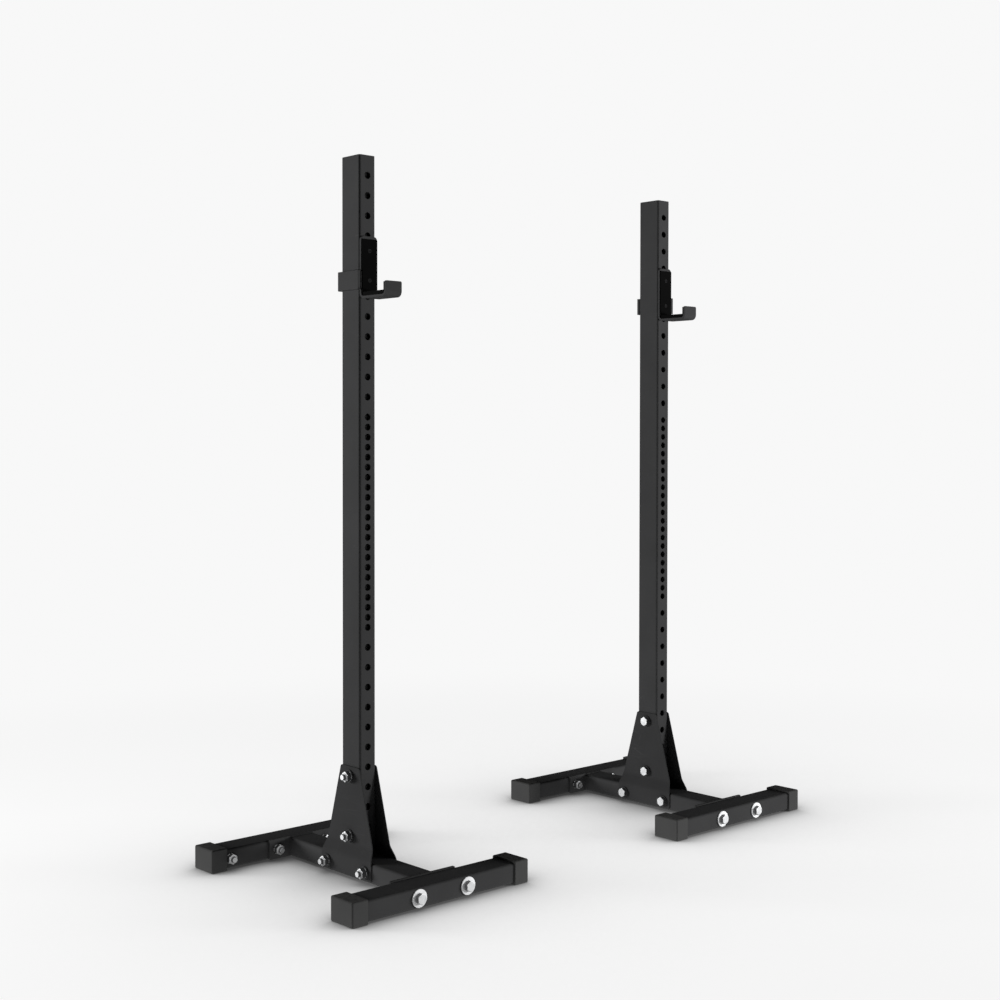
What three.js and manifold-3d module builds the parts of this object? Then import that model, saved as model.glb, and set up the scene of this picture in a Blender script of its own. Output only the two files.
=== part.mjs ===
// A pair of free-standing squat stands with one J-cup each.
// Millimetres, +Z up. The origin is on the floor, midway between the two uprights.
// X runs along the bar that would lie in the cups, and the cups stand on the -Y side.

import * as THREE from 'three';
import { mergeVertices } from 'three/addons/utils/BufferGeometryUtils.js';
import Module from 'manifold-3d';

// Driving dimensions of the pair
const standSpacing = 1117.6;
const uprightHeight = 1778;
const centreTubeLength = 508;
const crossTubeLength = 541.8;

// Box tube, used for the uprights and the bases
const tubeWide = 76.2;
const tubeNarrow = 50.8;
const tubeWall = 3.05;
const tubeCorner = 6.4;

// Clearances: between pieces that touch, and past the faces that a cut goes through
const fitGap = 0.3;
const cutOverrun = 1;

// Holes in the uprights, on the front and rear faces, counted from the top
const holeDiameter = 17.5;
const firstHoleDepth = 50.8;
const openPitch = 50.8;
const closePitch = 25.4;
const openSteps = 12;
const closeSteps = 21;
const lowestHoleHeight = 20;
const cupHoleIndex = 4;

// Plastic plug in the top of each upright
const plugLid = 3;
const plugStem = 22;
const plugWall = 2.5;

// Rubber end caps, which are the feet
const capWall = 4.5;
const capCorner = 3.5;
const capDepth = 45;

// Flange plates on the ends of the centre tube
const flangeWidth = 203.2;
const flangeHeight = 53.2;
const flangeThickness = 6.35;
const flangeCorner = 4;

// Joggled gusset plates, heights above the top of the base tube
const gussetThickness = 3.05;
const gussetHeight = 228.6;
const gussetFootWidth = 209.6;
const gussetFootTop = -6.6;
const gussetFootGap = 5.2;
const gussetFlareTop = 33;
const gussetFlareFoot = 2.4;
const gussetCorner = 8;
const gussetBoltHeights = [50.8, 203.2];
const gussetFootBoltSpacing = 158.8;

// Bolts, washers and lock nuts
const boltDiameter = 15.9;
const hexAcrossFlats = 23.8;
const headHeight = 10;
const nutHeight = 13.5;
const nutCollarHeight = 5;
const nutCollarDiameter = 20;
const threadProud = 3;
const plainWasherDiameter = 33.3;
const plainWasherThickness = 3;
const wideWasherDiameter = 44.4;
const wideWasherThickness = 3.4;
const crossBoltSpacing = 152.4;
const endBoltInset = 13.2;

// J-cup, heights from its pin
const cupPlate = 6.35;
const cupBend = 8.6;
const cupWidth = 50.8;
const cupTop = 48.6;
const cupBottom = -108.9;
const cupReach = 107;
const cupLipHeight = 39;
const cupCorner = 9;
const backLiner = 3.2;
const seatLiner = 10;
const lipLiner = 5.35;
const linerWidth = 46.8;
const linerTopGap = 7.5;
const lipLinerGap = 2;
const strapPlate = 9.5;
const strapHeight = 48;
const strapDrop = 37.9;
const strapBend = 3;
const strapReturnGap = 1.4;
const pinLength = 57;
const screwHeadDiameter = 11;
const screwDiameter = 6;
const screwHeadDepth = 2.4;
const screwShare = [0.22, 0.78];
const seatScrewShare = 0.5;

// Facets: steps in a bent corner and sides of a round
const cornerSteps = 2;
const holeSides = 8;
const collarSides = 8;
const shankSides = 6;
const washerSides = 10;
const pinSides = 14;
const hexSides = 6;

// Levels and distances that follow from the sizes above
const baseBottom = capWall + fitGap;
const baseMiddle = baseBottom + tubeNarrow / 2;
const baseTop = baseBottom + tubeNarrow;
const uprightBottom = baseTop + fitGap;
const uprightTop = uprightBottom + uprightHeight;
const tubeTop = uprightTop - plugLid - fitGap;
const flangeInside = centreTubeLength / 2;
const crossInside = flangeInside + flangeThickness + fitGap;
const crossMiddle = crossInside + tubeWide / 2;
const crossOutside = crossInside + tubeWide;
const capEnd = crossTubeLength / 2 + fitGap + capWall;
const capEdge = capEnd - capDepth;

const steelBlack = new THREE.MeshStandardMaterial({ color: 0x3a3a3b, roughness: 0.5, metalness: 0.2 });
const brightZinc = new THREE.MeshStandardMaterial({ color: 0xc9ccd0, roughness: 0.3, metalness: 1 });
const blackRubber = new THREE.MeshStandardMaterial({ color: 0x444444, roughness: 0.8, metalness: 0 });
const blackPlastic = new THREE.MeshStandardMaterial({ color: 0x1c1c1c, roughness: 0.5, metalness: 0 });

const wasm = await Module();
wasm.setup();

const quarter = Math.PI / 2;
const extrusionTurns = {
  x: new THREE.Matrix4().makeBasis(
    new THREE.Vector3(0, 1, 0), new THREE.Vector3(0, 0, 1), new THREE.Vector3(1, 0, 0)),
  y: new THREE.Matrix4().makeBasis(
    new THREE.Vector3(1, 0, 0), new THREE.Vector3(0, 0, 1), new THREE.Vector3(0, -1, 0)),
  z: new THREE.Matrix4(),
};

// A prism of an outline between two places on an axis.
// The outline is drawn in (Y, Z) for x, in (X, Z) for y and in (X, Y) for z.
function prism(axis, outline, start, end, openings = []) {
  const shape = new THREE.Shape(outline);
  openings.forEach((opening) => shape.holes.push(new THREE.Path(opening)));
  const low = Math.min(start, end);
  const high = Math.max(start, end);
  const geometry = new THREE.ExtrudeGeometry(shape, { depth: high - low, bevelEnabled: false });
  geometry.applyMatrix4(extrusionTurns[axis]);
  if (axis === 'x') geometry.translate(low, 0, 0);
  if (axis === 'y') geometry.translate(0, high, 0);
  if (axis === 'z') geometry.translate(0, 0, low);
  return geometry;
}

function toSolid(geometry) {
  const bare = geometry.clone();
  bare.deleteAttribute('normal');
  bare.deleteAttribute('uv');
  const merged = mergeVertices(bare);
  return new wasm.Manifold(new wasm.Mesh({
    numProp: 3,
    vertProperties: new Float32Array(merged.attributes.position.array),
    triVerts: new Uint32Array(merged.index.array),
  }));
}

function toGeometry(solid) {
  const mesh = solid.getMesh();
  const geometry = new THREE.BufferGeometry();
  geometry.setAttribute('position', new THREE.BufferAttribute(mesh.vertProperties, mesh.numProp));
  geometry.setIndex(new THREE.BufferAttribute(mesh.triVerts, 1));
  geometry.computeVertexNormals();
  return geometry;
}

function cut(geometry, tools) {
  return toGeometry(tools.reduce((solid, tool) => solid.subtract(toSolid(tool)), toSolid(geometry)));
}

function join(pieces) {
  return toGeometry(pieces.map(toSolid).reduce((sum, solid) => sum.add(solid)));
}

function overlapOf(first, second) {
  return toGeometry(toSolid(first).intersect(toSolid(second)));
}

function arc(centreU, centreV, radius, from, to, steps = cornerSteps) {
  const points = [];
  for (let step = 0; step <= steps; step += 1) {
    const angle = from + ((to - from) * step) / steps;
    points.push(new THREE.Vector2(centreU + radius * Math.cos(angle), centreV + radius * Math.sin(angle)));
  }
  return points;
}

// A rectangle with round corners, about a centre
function roundedOutline(width, height, radius, centreU = 0, centreV = 0) {
  const points = [];
  for (let corner = 0; corner < 4; corner += 1) {
    const towards = (corner + 0.5) * quarter;
    const cornerU = centreU + Math.sign(Math.cos(towards)) * (width / 2 - radius);
    const cornerV = centreV + Math.sign(Math.sin(towards)) * (height / 2 - radius);
    points.push(...arc(cornerU, cornerV, radius, corner * quarter, (corner + 1) * quarter));
  }
  return points;
}

function rectangle(lowU, highU, lowV, highV) {
  return [
    new THREE.Vector2(lowU, lowV), new THREE.Vector2(highU, lowV),
    new THREE.Vector2(highU, highV), new THREE.Vector2(lowU, highV),
  ];
}

function polygon(radius, sides, centreU, centreV) {
  const points = [];
  for (let side = 0; side < sides; side += 1) {
    const angle = ((side + 0.5) / sides) * 4 * quarter;
    points.push(new THREE.Vector2(centreU + radius * Math.cos(angle), centreV + radius * Math.sin(angle)));
  }
  return points;
}

// A hole and a hexagon are measured across their flats, a shank across its corners
function roundHole(diameter, centreU, centreV, sides = holeSides) {
  return polygon(diameter / 2 / Math.cos((2 * quarter) / sides), sides, centreU, centreV);
}

function hexagon(centreU, centreV) {
  return polygon(hexAcrossFlats / 2 / Math.cos((2 * quarter) / hexSides), hexSides, centreU, centreV);
}

function boxTube(axis, width, height, centreU, centreV, start, end) {
  const outside = roundedOutline(width, height, tubeCorner, centreU, centreV);
  const bore = roundedOutline(
    width - 2 * tubeWall, height - 2 * tubeWall, tubeCorner - tubeWall, centreU, centreV);
  return prism(axis, outside, start, end, [bore]);
}

function drills(axis, diameter, places, start, end, sides = holeSides) {
  return places.map(
    ([placeU, placeV]) => prism(axis, roundHole(diameter, placeU, placeV, sides), start, end));
}

const noWasher = { diameter: 0, thickness: 0 };
const plainWasher = { diameter: plainWasherDiameter, thickness: plainWasherThickness };
const wideWasher = { diameter: wideWasherDiameter, thickness: wideWasherThickness };

// A bolt done up, with its washers and its lock nut, is one body.
// headFace and nutFace are the faces that it clamps, and towards is the way that the head looks.
function boltSet(axis, [placeU, placeV], headFace, nutFace, towards, headWasher, nutWasher) {
  const disc = (diameter, start, end, sides = washerSides) => prism(
    axis, polygon(diameter / 2, sides, placeU, placeV), start, end);
  const headSeat = headFace + towards * fitGap;
  const head = headSeat + towards * headWasher.thickness;
  const nutSeat = nutFace - towards * fitGap;
  const nut = nutSeat - towards * nutWasher.thickness;
  const collar = nut - towards * nutHeight;
  const tip = collar - towards * (nutCollarHeight + threadProud);
  const pieces = [
    disc(boltDiameter, head, tip, shankSides),
    prism(axis, hexagon(placeU, placeV), head, head + towards * headHeight),
    prism(axis, hexagon(placeU, placeV), nut, collar),
    disc(nutCollarDiameter, nut, collar - towards * nutCollarHeight, collarSides),
  ];
  if (headWasher.thickness) pieces.push(disc(headWasher.diameter, headSeat, head));
  if (nutWasher.thickness) pieces.push(disc(nutWasher.diameter, nutSeat, nut));
  return join(pieces);
}

// Heights of the holes, from the top hole down, close together where the cups are set for a press
function holeHeights() {
  const heights = [];
  let height = uprightTop - firstHoleDepth;
  for (let count = 0; height >= uprightBottom + lowestHoleHeight; count += 1) {
    heights.push(height);
    const close = count >= openSteps && count < openSteps + closeSteps;
    height -= close ? closePitch : openPitch;
  }
  return heights;
}

const pinHeight = holeHeights()[cupHoleIndex];
const gussetBoltLevels = gussetBoltHeights.map((height) => baseTop + height);
const footBoltPlaces = [-1, 1].map((end) => [end * gussetFootBoltSpacing / 2, baseMiddle]);
const crossBoltPlaces = [-1, 1].map((end) => [end * crossBoltSpacing / 2, baseMiddle]);
const gussetUpperFace = tubeNarrow / 2 + fitGap + gussetThickness;
const gussetLowerFace = tubeWide / 2 + fitGap + gussetThickness;

function uprightTube() {
  const tube = boxTube('z', tubeNarrow, tubeWide, 0, 0, uprightBottom, tubeTop);
  const reach = tubeWide / 2 + cutOverrun;
  const rows = drills('y', holeDiameter, holeHeights().map((height) => [0, height]), -reach, reach);
  const sides = drills('x', holeDiameter, gussetBoltLevels.map((level) => [0, level]), -reach, reach);
  return cut(tube, [...rows, ...sides]);
}

function topPlug() {
  const lid = prism('z', roundedOutline(tubeNarrow, tubeWide, tubeCorner), tubeTop + fitGap, uprightTop);
  const inset = 2 * (tubeWall + fitGap);
  const stemCorner = tubeCorner - tubeWall;
  const stem = prism(
    'z', roundedOutline(tubeNarrow - inset, tubeWide - inset, stemCorner),
    tubeTop - plugStem, tubeTop + fitGap + plugLid / 2);
  const hollow = prism(
    'z', roundedOutline(tubeNarrow - inset - 2 * plugWall, tubeWide - inset - 2 * plugWall, stemCorner),
    tubeTop - plugStem - cutOverrun, tubeTop - plugWall);
  return cut(join([lid, stem]), [hollow]);
}

// One bent plate: flat on the upright, flared out below it, flat on the wider base tube
function gussetPlate(side) {
  const upper = side * (tubeNarrow / 2 + fitGap);
  const lower = side * (tubeWide / 2 + fitGap);
  const thickness = side * gussetThickness;
  const top = baseTop + gussetHeight;
  const bottom = baseBottom + gussetFootGap;
  const flareTop = baseTop + gussetFlareTop;
  const flareFoot = baseTop + gussetFlareFoot;
  const drop = flareTop - flareFoot;
  const run = Math.abs(lower - upper);
  const mitre = gussetThickness * (Math.hypot(drop, run) - drop) / run;
  const bentStrip = [
    new THREE.Vector2(upper, top), new THREE.Vector2(upper, flareTop),
    new THREE.Vector2(lower, flareFoot), new THREE.Vector2(lower, bottom),
    new THREE.Vector2(lower + thickness, bottom), new THREE.Vector2(lower + thickness, flareFoot + mitre),
    new THREE.Vector2(upper + thickness, flareTop + mitre), new THREE.Vector2(upper + thickness, top),
  ];
  const halfTop = tubeWide / 2;
  const halfFoot = gussetFootWidth / 2;
  const footTop = baseTop + gussetFootTop;
  const footArc = arc(halfFoot - gussetCorner, bottom + gussetCorner, gussetCorner, -quarter, 0);
  const slope = Math.atan2(halfFoot - halfTop, top - footTop);
  const topArc = arc(
    halfTop - gussetCorner * (1 - Math.sin(slope)), top - gussetCorner, gussetCorner, slope, quarter);
  const right = [...footArc, new THREE.Vector2(halfFoot, footTop), ...topArc];
  const left = right.map((point) => new THREE.Vector2(-point.x, point.y)).reverse();
  const outline = [...right, ...left];
  const strip = prism('y', bentStrip, -halfFoot - cutOverrun, halfFoot + cutOverrun);
  const plate = overlapOf(strip, prism('x', outline, 0, side * (gussetLowerFace + cutOverrun)));
  const holes = [...gussetBoltLevels.map((level) => [0, level]), ...footBoltPlaces];
  return cut(plate, drills('x', holeDiameter, holes, 0, side * (gussetLowerFace + cutOverrun)));
}

function centreTube() {
  const end = flangeInside - fitGap;
  const tube = boxTube('y', tubeWide, tubeNarrow, 0, baseMiddle, -end, end);
  const reach = tubeWide / 2 + cutOverrun;
  return cut(tube, drills('x', holeDiameter, footBoltPlaces, -reach, reach));
}

function flangePlate(end) {
  const outline = roundedOutline(flangeWidth, flangeHeight, flangeCorner, 0, baseBottom + flangeHeight / 2);
  const holes = crossBoltPlaces.map(([across, up]) => roundHole(holeDiameter, across, up));
  return prism('y', outline, end * flangeInside, end * (flangeInside + flangeThickness), holes);
}

function endBoltPlace(side) {
  return [side * (capEdge - endBoltInset), baseMiddle];
}

function crossTube(end, boltPlaces) {
  const half = crossTubeLength / 2;
  const tube = boxTube('x', tubeWide, tubeNarrow, end * crossMiddle, baseMiddle, -half, half);
  const reach = crossOutside + cutOverrun;
  return cut(tube, drills('y', holeDiameter, boltPlaces, end * (crossInside - cutOverrun), end * reach));
}

function endCap(end, side) {
  const middle = end * crossMiddle;
  const grow = 2 * (capWall + fitGap);
  const outside = prism(
    'x', roundedOutline(tubeWide + grow, tubeNarrow + grow, capCorner, middle, baseMiddle),
    side * capEdge, side * capEnd);
  const socket = prism(
    'x', roundedOutline(tubeWide + 2 * fitGap, tubeNarrow + 2 * fitGap, tubeCorner, middle, baseMiddle),
    side * (capEdge - cutOverrun), side * (capEnd - capWall));
  return cut(outside, [socket]);
}

// The gusset bolts go through both plates, with their heads towards the other stand
function gussetBolt(side, place, face) {
  return boltSet('x', place, -side * face, side * face, -side, plainWasher, plainWasher);
}

// The cross-tube bolts go through the tube and its flange, with their heads outside
function crossBolt(end, place) {
  return boltSet('y', place, end * crossOutside, end * flangeInside, end, wideWasher, noWasher);
}

function rearEndBolt(side) {
  return boltSet('y', endBoltPlace(side), crossOutside, crossInside, 1, noWasher, noWasher);
}

// Planes of the J-cup, as distances in front of the upright's middle
const cupBackFace = tubeWide / 2 + fitGap;
const cupFrontFace = cupBackFace + cupPlate;
const linerFace = cupFrontFace + fitGap + backLiner;
const lipOutside = tubeWide / 2 + cupReach;
const lipInside = lipOutside - cupPlate;
const lipLinerFace = lipInside - fitGap - lipLiner;
const armBottom = pinHeight + cupBottom;
const armTop = armBottom + cupPlate;
const seatTop = armTop + fitGap + seatLiner;
const lipTop = armBottom + cupLipHeight;

function cupScrewPlaces() {
  const low = seatTop + fitGap;
  const high = pinHeight + cupTop - linerTopGap;
  return screwShare.map((share) => [0, low + share * (high - low)]);
}

function seatScrewPlace() {
  return [0, -(linerFace + seatScrewShare * (lipLinerFace - linerFace))];
}

// Back, arm and lip are one plate with two bends, seen from the side in (Y, Z)
function cupBracket() {
  const outer = cupBend + cupPlate;
  const heel = [-(cupBackFace + outer), armBottom + outer];
  const toe = [-(lipOutside - outer), armBottom + outer];
  const outline = [
    new THREE.Vector2(-cupBackFace, pinHeight + cupTop),
    ...arc(heel[0], heel[1], outer, 0, -quarter, 2 * cornerSteps),
    ...arc(toe[0], toe[1], outer, -quarter, -2 * quarter, 2 * cornerSteps),
    new THREE.Vector2(-lipOutside, lipTop),
    new THREE.Vector2(-lipInside, lipTop),
    ...arc(toe[0], toe[1], cupBend, -2 * quarter, -quarter),
    ...arc(heel[0], heel[1], cupBend, -quarter, 0),
    new THREE.Vector2(-cupFrontFace, pinHeight + cupTop),
  ];
  const half = cupWidth / 2;
  const bent = prism('x', outline, -half, half);
  const face = prism(
    'y', roundedOutline(cupWidth, cupTop - cupBottom, cupCorner, 0, pinHeight + (cupTop + cupBottom) / 2),
    -(lipOutside + cutOverrun), -(cupBackFace - cutOverrun));
  const square = prism(
    'y', rectangle(-half, half, armBottom - cutOverrun, lipTop + cutOverrun),
    -(lipOutside + cutOverrun), -(cupBackFace - cutOverrun));
  const shaped = overlapOf(bent, join([face, square]));
  const bore = screwDiameter + 2 * fitGap;
  return cut(shaped, [
    ...drills(
      'y', bore, cupScrewPlaces(), -(cupFrontFace + cutOverrun), -(cupBackFace - cutOverrun), hexSides),
    ...drills('z', bore, [seatScrewPlace()], armBottom - cutOverrun, armTop + cutOverrun, hexSides),
  ]);
}

// The strap goes along the outer side of the upright and returns behind it, in (X, Y)
function cupStrap(side) {
  const inside = cupWidth / 2 + fitGap;
  const behind = cupBackFace;
  const outer = strapBend + strapPlate;
  const bendX = inside - strapBend;
  const bendY = behind - strapBend;
  const tip = -(tubeNarrow / 2 - strapReturnGap);
  const outline = [
    new THREE.Vector2(inside, -cupFrontFace),
    new THREE.Vector2(inside + strapPlate, -cupFrontFace),
    ...arc(bendX, bendY, outer, 0, quarter, 2 * cornerSteps),
    new THREE.Vector2(tip, behind + strapPlate),
    new THREE.Vector2(tip, behind),
    ...arc(bendX, bendY, strapBend, quarter, 0),
  ].map((point) => new THREE.Vector2(side * point.x, point.y));
  const top = pinHeight - strapDrop;
  return prism('z', outline, top - strapHeight, top);
}

function cupPin() {
  const start = -(cupBackFace - fitGap);
  return prism('y', polygon(boltDiameter / 2, pinSides, 0, pinHeight), start, start + pinLength);
}

// The back liner starts where the bend ends, a little below the seat
function cupBackLiner() {
  const low = armTop + cupBend;
  const high = pinHeight + cupTop - linerTopGap;
  const outline = roundedOutline(linerWidth, high - low, tubeWall, 0, (high + low) / 2);
  const sheet = prism('y', outline, -linerFace, -(cupFrontFace + fitGap));
  const wide = screwHeadDiameter + 2 * fitGap;
  return cut(sheet, [
    ...drills(
      'y', screwDiameter + 2 * fitGap, cupScrewPlaces(), -(linerFace + cutOverrun), -cupBackFace, hexSides),
    ...drills('y', wide, cupScrewPlaces(), -(linerFace + cutOverrun), -(linerFace - screwHeadDepth)),
  ]);
}

// The bar's seat and the inside of the lip are one liner, which stands in front of the back liner
function cupArmLiner() {
  const corner = cupBend - fitGap;
  const heel = -(cupFrontFace + cupBend);
  const toe = -(lipInside - cupBend);
  const outline = [
    ...arc(toe, armTop + cupBend, corner, -2 * quarter, -quarter),
    ...arc(heel, armTop + cupBend, corner, -quarter, 0),
    new THREE.Vector2(-(cupFrontFace + fitGap), seatTop),
    new THREE.Vector2(-lipLinerFace, seatTop),
    new THREE.Vector2(-lipLinerFace, lipTop - lipLinerGap),
    new THREE.Vector2(-(lipInside - fitGap), lipTop - lipLinerGap),
  ];
  const block = prism('x', outline, -linerWidth / 2, linerWidth / 2);
  const wide = screwHeadDiameter + 2 * fitGap;
  const behind = rectangle(-(linerFace + fitGap), -cupBackFace, armBottom, seatTop + cutOverrun);
  return cut(block, [
    prism('x', behind, -linerWidth, linerWidth),
    ...drills(
      'z', screwDiameter + 2 * fitGap, [seatScrewPlace()], armBottom, seatTop + cutOverrun, hexSides),
    ...drills('z', wide, [seatScrewPlace()], seatTop - screwHeadDepth, seatTop + cutOverrun),
  ]);
}

// Flat heads lie flush in the liners, shanks end in the plate
function linerScrew(axis, [placeU, placeV], face, inwards, end) {
  const under = face + inwards * (screwHeadDepth - fitGap);
  const head = prism(axis, polygon(screwHeadDiameter / 2, holeSides, placeU, placeV), face, under);
  const start = face + inwards * fitGap;
  const shank = prism(axis, polygon(screwDiameter / 2, hexSides, placeU, placeV), start, end);
  return join([head, shank]);
}

function backScrew(place) {
  return linerScrew('y', place, -(linerFace - fitGap), 1, -cupBackFace);
}

function seatScrew() {
  return linerScrew('z', seatScrewPlace(), seatTop - fitGap, -1, armBottom);
}

function addPiece(stand, name, geometry, material) {
  const mesh = new THREE.Mesh(geometry, material);
  mesh.name = name;
  stand.add(mesh);
}

function buildStand(label, side) {
  const stand = new THREE.Group();
  stand.position.x = side * standSpacing / 2;
  const add = (name, geometry, material) => addPiece(stand, `${label}_${name}`, geometry, material);

  add('upright', uprightTube(), steelBlack);
  add('upright_top_plug', topPlug(), blackPlastic);
  add('gusset_outer', gussetPlate(side), steelBlack);
  add('gusset_inner', gussetPlate(-side), steelBlack);
  add('centre_tube', centreTube(), steelBlack);
  add('front_flange', flangePlate(-1), steelBlack);
  add('rear_flange', flangePlate(1), steelBlack);
  add('front_cross_tube', crossTube(-1, crossBoltPlaces), steelBlack);
  add('rear_cross_tube', crossTube(1, [...crossBoltPlaces, endBoltPlace(side)]), steelBlack);
  [['front', -1], ['rear', 1]].forEach(([place, end]) => {
    add(`${place}_outer_cap`, endCap(end, side), blackRubber);
    add(`${place}_inner_cap`, endCap(end, -side), blackRubber);
  });

  ['low', 'high'].forEach((name, index) => {
    add(`gusset_${name}_bolt`, gussetBolt(side, [0, gussetBoltLevels[index]], gussetUpperFace), brightZinc);
  });
  [['front', -1], ['rear', 1]].forEach(([place, end], index) => {
    add(`gusset_${place}_bolt`, gussetBolt(side, footBoltPlaces[index], gussetLowerFace), brightZinc);
    add(`${place}_outer_bolt`, crossBolt(end, [side * crossBoltSpacing / 2, baseMiddle]), brightZinc);
    add(`${place}_inner_bolt`, crossBolt(end, [-side * crossBoltSpacing / 2, baseMiddle]), brightZinc);
  });
  add('rear_end_bolt', rearEndBolt(side), brightZinc);

  add('jcup_bracket', cupBracket(), steelBlack);
  add('jcup_strap', cupStrap(side), steelBlack);
  add('jcup_pin', cupPin(), brightZinc);
  add('jcup_back_liner', cupBackLiner(), blackPlastic);
  add('jcup_arm_liner', cupArmLiner(), blackPlastic);
  ['low', 'high'].forEach((name, index) => {
    add(`jcup_${name}_screw`, backScrew(cupScrewPlaces()[index]), brightZinc);
  });
  add('jcup_seat_screw', seatScrew(), brightZinc);
  return stand;
}

const squatStands = new THREE.Group();
squatStands.add(buildStand('left', -1));
squatStands.add(buildStand('right', 1));

export default squatStands;
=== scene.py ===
import math

import bmesh
import bpy
from mathutils import Euler, Matrix, Vector


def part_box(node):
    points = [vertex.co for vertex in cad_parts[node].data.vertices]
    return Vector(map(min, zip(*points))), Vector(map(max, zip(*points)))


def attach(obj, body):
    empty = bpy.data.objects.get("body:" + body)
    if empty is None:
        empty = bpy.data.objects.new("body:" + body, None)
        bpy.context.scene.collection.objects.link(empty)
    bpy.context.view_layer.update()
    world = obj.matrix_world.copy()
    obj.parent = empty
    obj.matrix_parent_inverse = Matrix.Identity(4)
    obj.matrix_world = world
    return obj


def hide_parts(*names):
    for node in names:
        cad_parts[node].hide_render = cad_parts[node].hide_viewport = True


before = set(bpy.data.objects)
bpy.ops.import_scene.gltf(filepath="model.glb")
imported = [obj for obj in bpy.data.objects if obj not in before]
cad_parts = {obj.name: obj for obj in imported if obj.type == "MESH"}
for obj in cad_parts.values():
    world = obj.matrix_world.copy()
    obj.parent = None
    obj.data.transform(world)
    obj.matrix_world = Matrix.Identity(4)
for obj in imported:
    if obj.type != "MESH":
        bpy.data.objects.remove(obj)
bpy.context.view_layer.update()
print("frame loaded,", len(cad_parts), "parts")

scene = bpy.context.scene
scene.view_settings.view_transform = "Standard"

cameraView = {
    "place": (-2.9430, -3.1677, 1.1331),
    "tilt": 88.789,  # degrees from straight down
    "heading": -42.972, "roll": 0.08,
    "sensor": 36, "lens": 55.675, "shift": (-0.0212, -0.0341), "farthest": 200,
}


def addObject(name, data):
    obj = bpy.data.objects.new(name, data)
    scene.collection.objects.link(obj)
    return obj


def addCamera(view):
    data = bpy.data.cameras.new("camera")
    data.sensor_width = view["sensor"]
    data.lens = view["lens"]
    data.shift_x, data.shift_y = view["shift"]
    data.clip_end = view["farthest"]
    camera = addObject("camera", data)
    turn = Euler((math.radians(view["tilt"]), 0, math.radians(view["heading"]))).to_matrix()
    roll = Matrix.Rotation(math.radians(view["roll"]), 3, "Z")
    camera.matrix_world = Matrix.Translation(view["place"]) @ (turn @ roll).to_4x4()
    scene.camera = camera


addCamera(cameraView)

# A low soft box far out at each side of the camera's line, tipped up a little, and a pale room
studioLight = {
    "leftSoftBox": {"place": (-3.7, 3.4, 0.9), "size": (1.6, 1.2), "target": (-1.0, 0, 2.0),
                    "spread": 100, "power": 101},
    "rightSoftBox": {"place": (4.0, -4.3, 0.9), "size": (2.0, 1.2), "target": (0.3, 0, 2.1),
                     "spread": 80, "power": 88},
    "room": 0.03,  # what the room gives to the object
    "paper": 0.938,  # what the camera and bright metal see
}


def addSoftBox(name, box):
    data = bpy.data.lights.new(name, "AREA")
    data.shape = "RECTANGLE"
    data.size, data.size_y = box["size"]
    data.spread = math.radians(box["spread"])
    data.energy = box["power"]
    light = addObject(name, data)
    light.location = box["place"]
    aim = Vector(box["target"]) - Vector(box["place"])
    light.rotation_euler = aim.to_track_quat("-Z", "Y").to_euler()


def grey(level):
    return (level, level, level, 1)


def addNode(tree, kind, inputs=None, **settings):
    node = tree.nodes.new(kind)
    for key, value in settings.items():
        setattr(node, key, value)
    for key, value in (inputs or {}).items():
        if isinstance(value, bpy.types.NodeSocket):
            tree.links.new(value, node.inputs[key])
        else:
            node.inputs[key].default_value = value
    return node


# The outputs of a new shader node
def shading(tree, kind, inputs=None, **settings):
    return addNode(tree, "ShaderNode" + kind, inputs, **settings).outputs


# The first output of a new geometry node
def shape(tree, kind, inputs=None, **settings):
    return addNode(tree, "GeometryNode" + kind, inputs, **settings).outputs[0]


# Adds a Math node to the tree that the sockets among its values belong to
def doMath(operation, *values):
    tree = next(value.id_data for value in values if isinstance(value, bpy.types.NodeSocket))
    return shading(tree, "Math", dict(enumerate(values)), operation=operation)[0]


def plus(first, second):
    return doMath("ADD", first, second)


def minus(first, second):
    return doMath("SUBTRACT", first, second)


def times(first, second, added=None):
    if added is None:
        return doMath("MULTIPLY", first, second)
    return doMath("MULTIPLY_ADD", first, second, added)


def mapRange(value, start, end, results=(0.0, 1.0), **settings):
    return shading(value.id_data, "MapRange", {
        "Value": value, "From Min": start, "From Max": end, "To Min": results[0], "To Max": results[1]},
        **settings)[0]


def mixColour(factor, first, second):
    return shading(factor.id_data, "Mix", {0: factor, 6: first, 7: second}, data_type="RGBA")[2]


# Starts the node tree of a world or a material
def emptyTree(owner):
    owner.use_nodes = True
    owner.node_tree.nodes.clear()
    return owner.node_tree


# Shows one shader to the camera, mirrors and glass, and another to the rest of the scene
def splitSight(tree, hidden, seen):
    path = shading(tree, "LightPath")
    direct = doMath("MAXIMUM", path["Is Camera Ray"], path["Is Glossy Ray"])
    direct = doMath("MAXIMUM", direct, path["Is Transmission Ray"])
    return shading(tree, "MixShader", {0: direct, 1: hidden, 2: seen})[0]


def addRoom(light):
    scene.world = bpy.data.worlds.new("paleRoom")
    tree = emptyTree(scene.world)
    room = shading(tree, "Background", {"Color": grey(1), "Strength": light["room"]})[0]
    paper = shading(tree, "Background", {"Color": grey(light["paper"]), "Strength": 1.0})[0]
    shading(tree, "OutputWorld", {0: splitSight(tree, room, paper)})


for name in ("leftSoftBox", "rightSoftBox"):
    addSoftBox(name, studioLight[name])
addRoom(studioLight)

floorPaper = {
    "size": 60,
    "near": 0.82,  # glow around the stands
    "paintedShadowTone": 0.03,  # painted shadow: the glow close under them
    "paintedShadowReach": 1.1, "paintedShadowDepth": 2.5, "paintedShadowSamples": 24,
    "shade": 0.40,  # how much of the lamps' light the paper gives back there
    "bounce": 0.50,  # the share of their light that the object gets back from it
    "lift": 0.85,  # what the object gets from it besides, close by
    "liftRange": (0.6, 2.0), "fadeRange": (0.9, 3.2),
}


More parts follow.
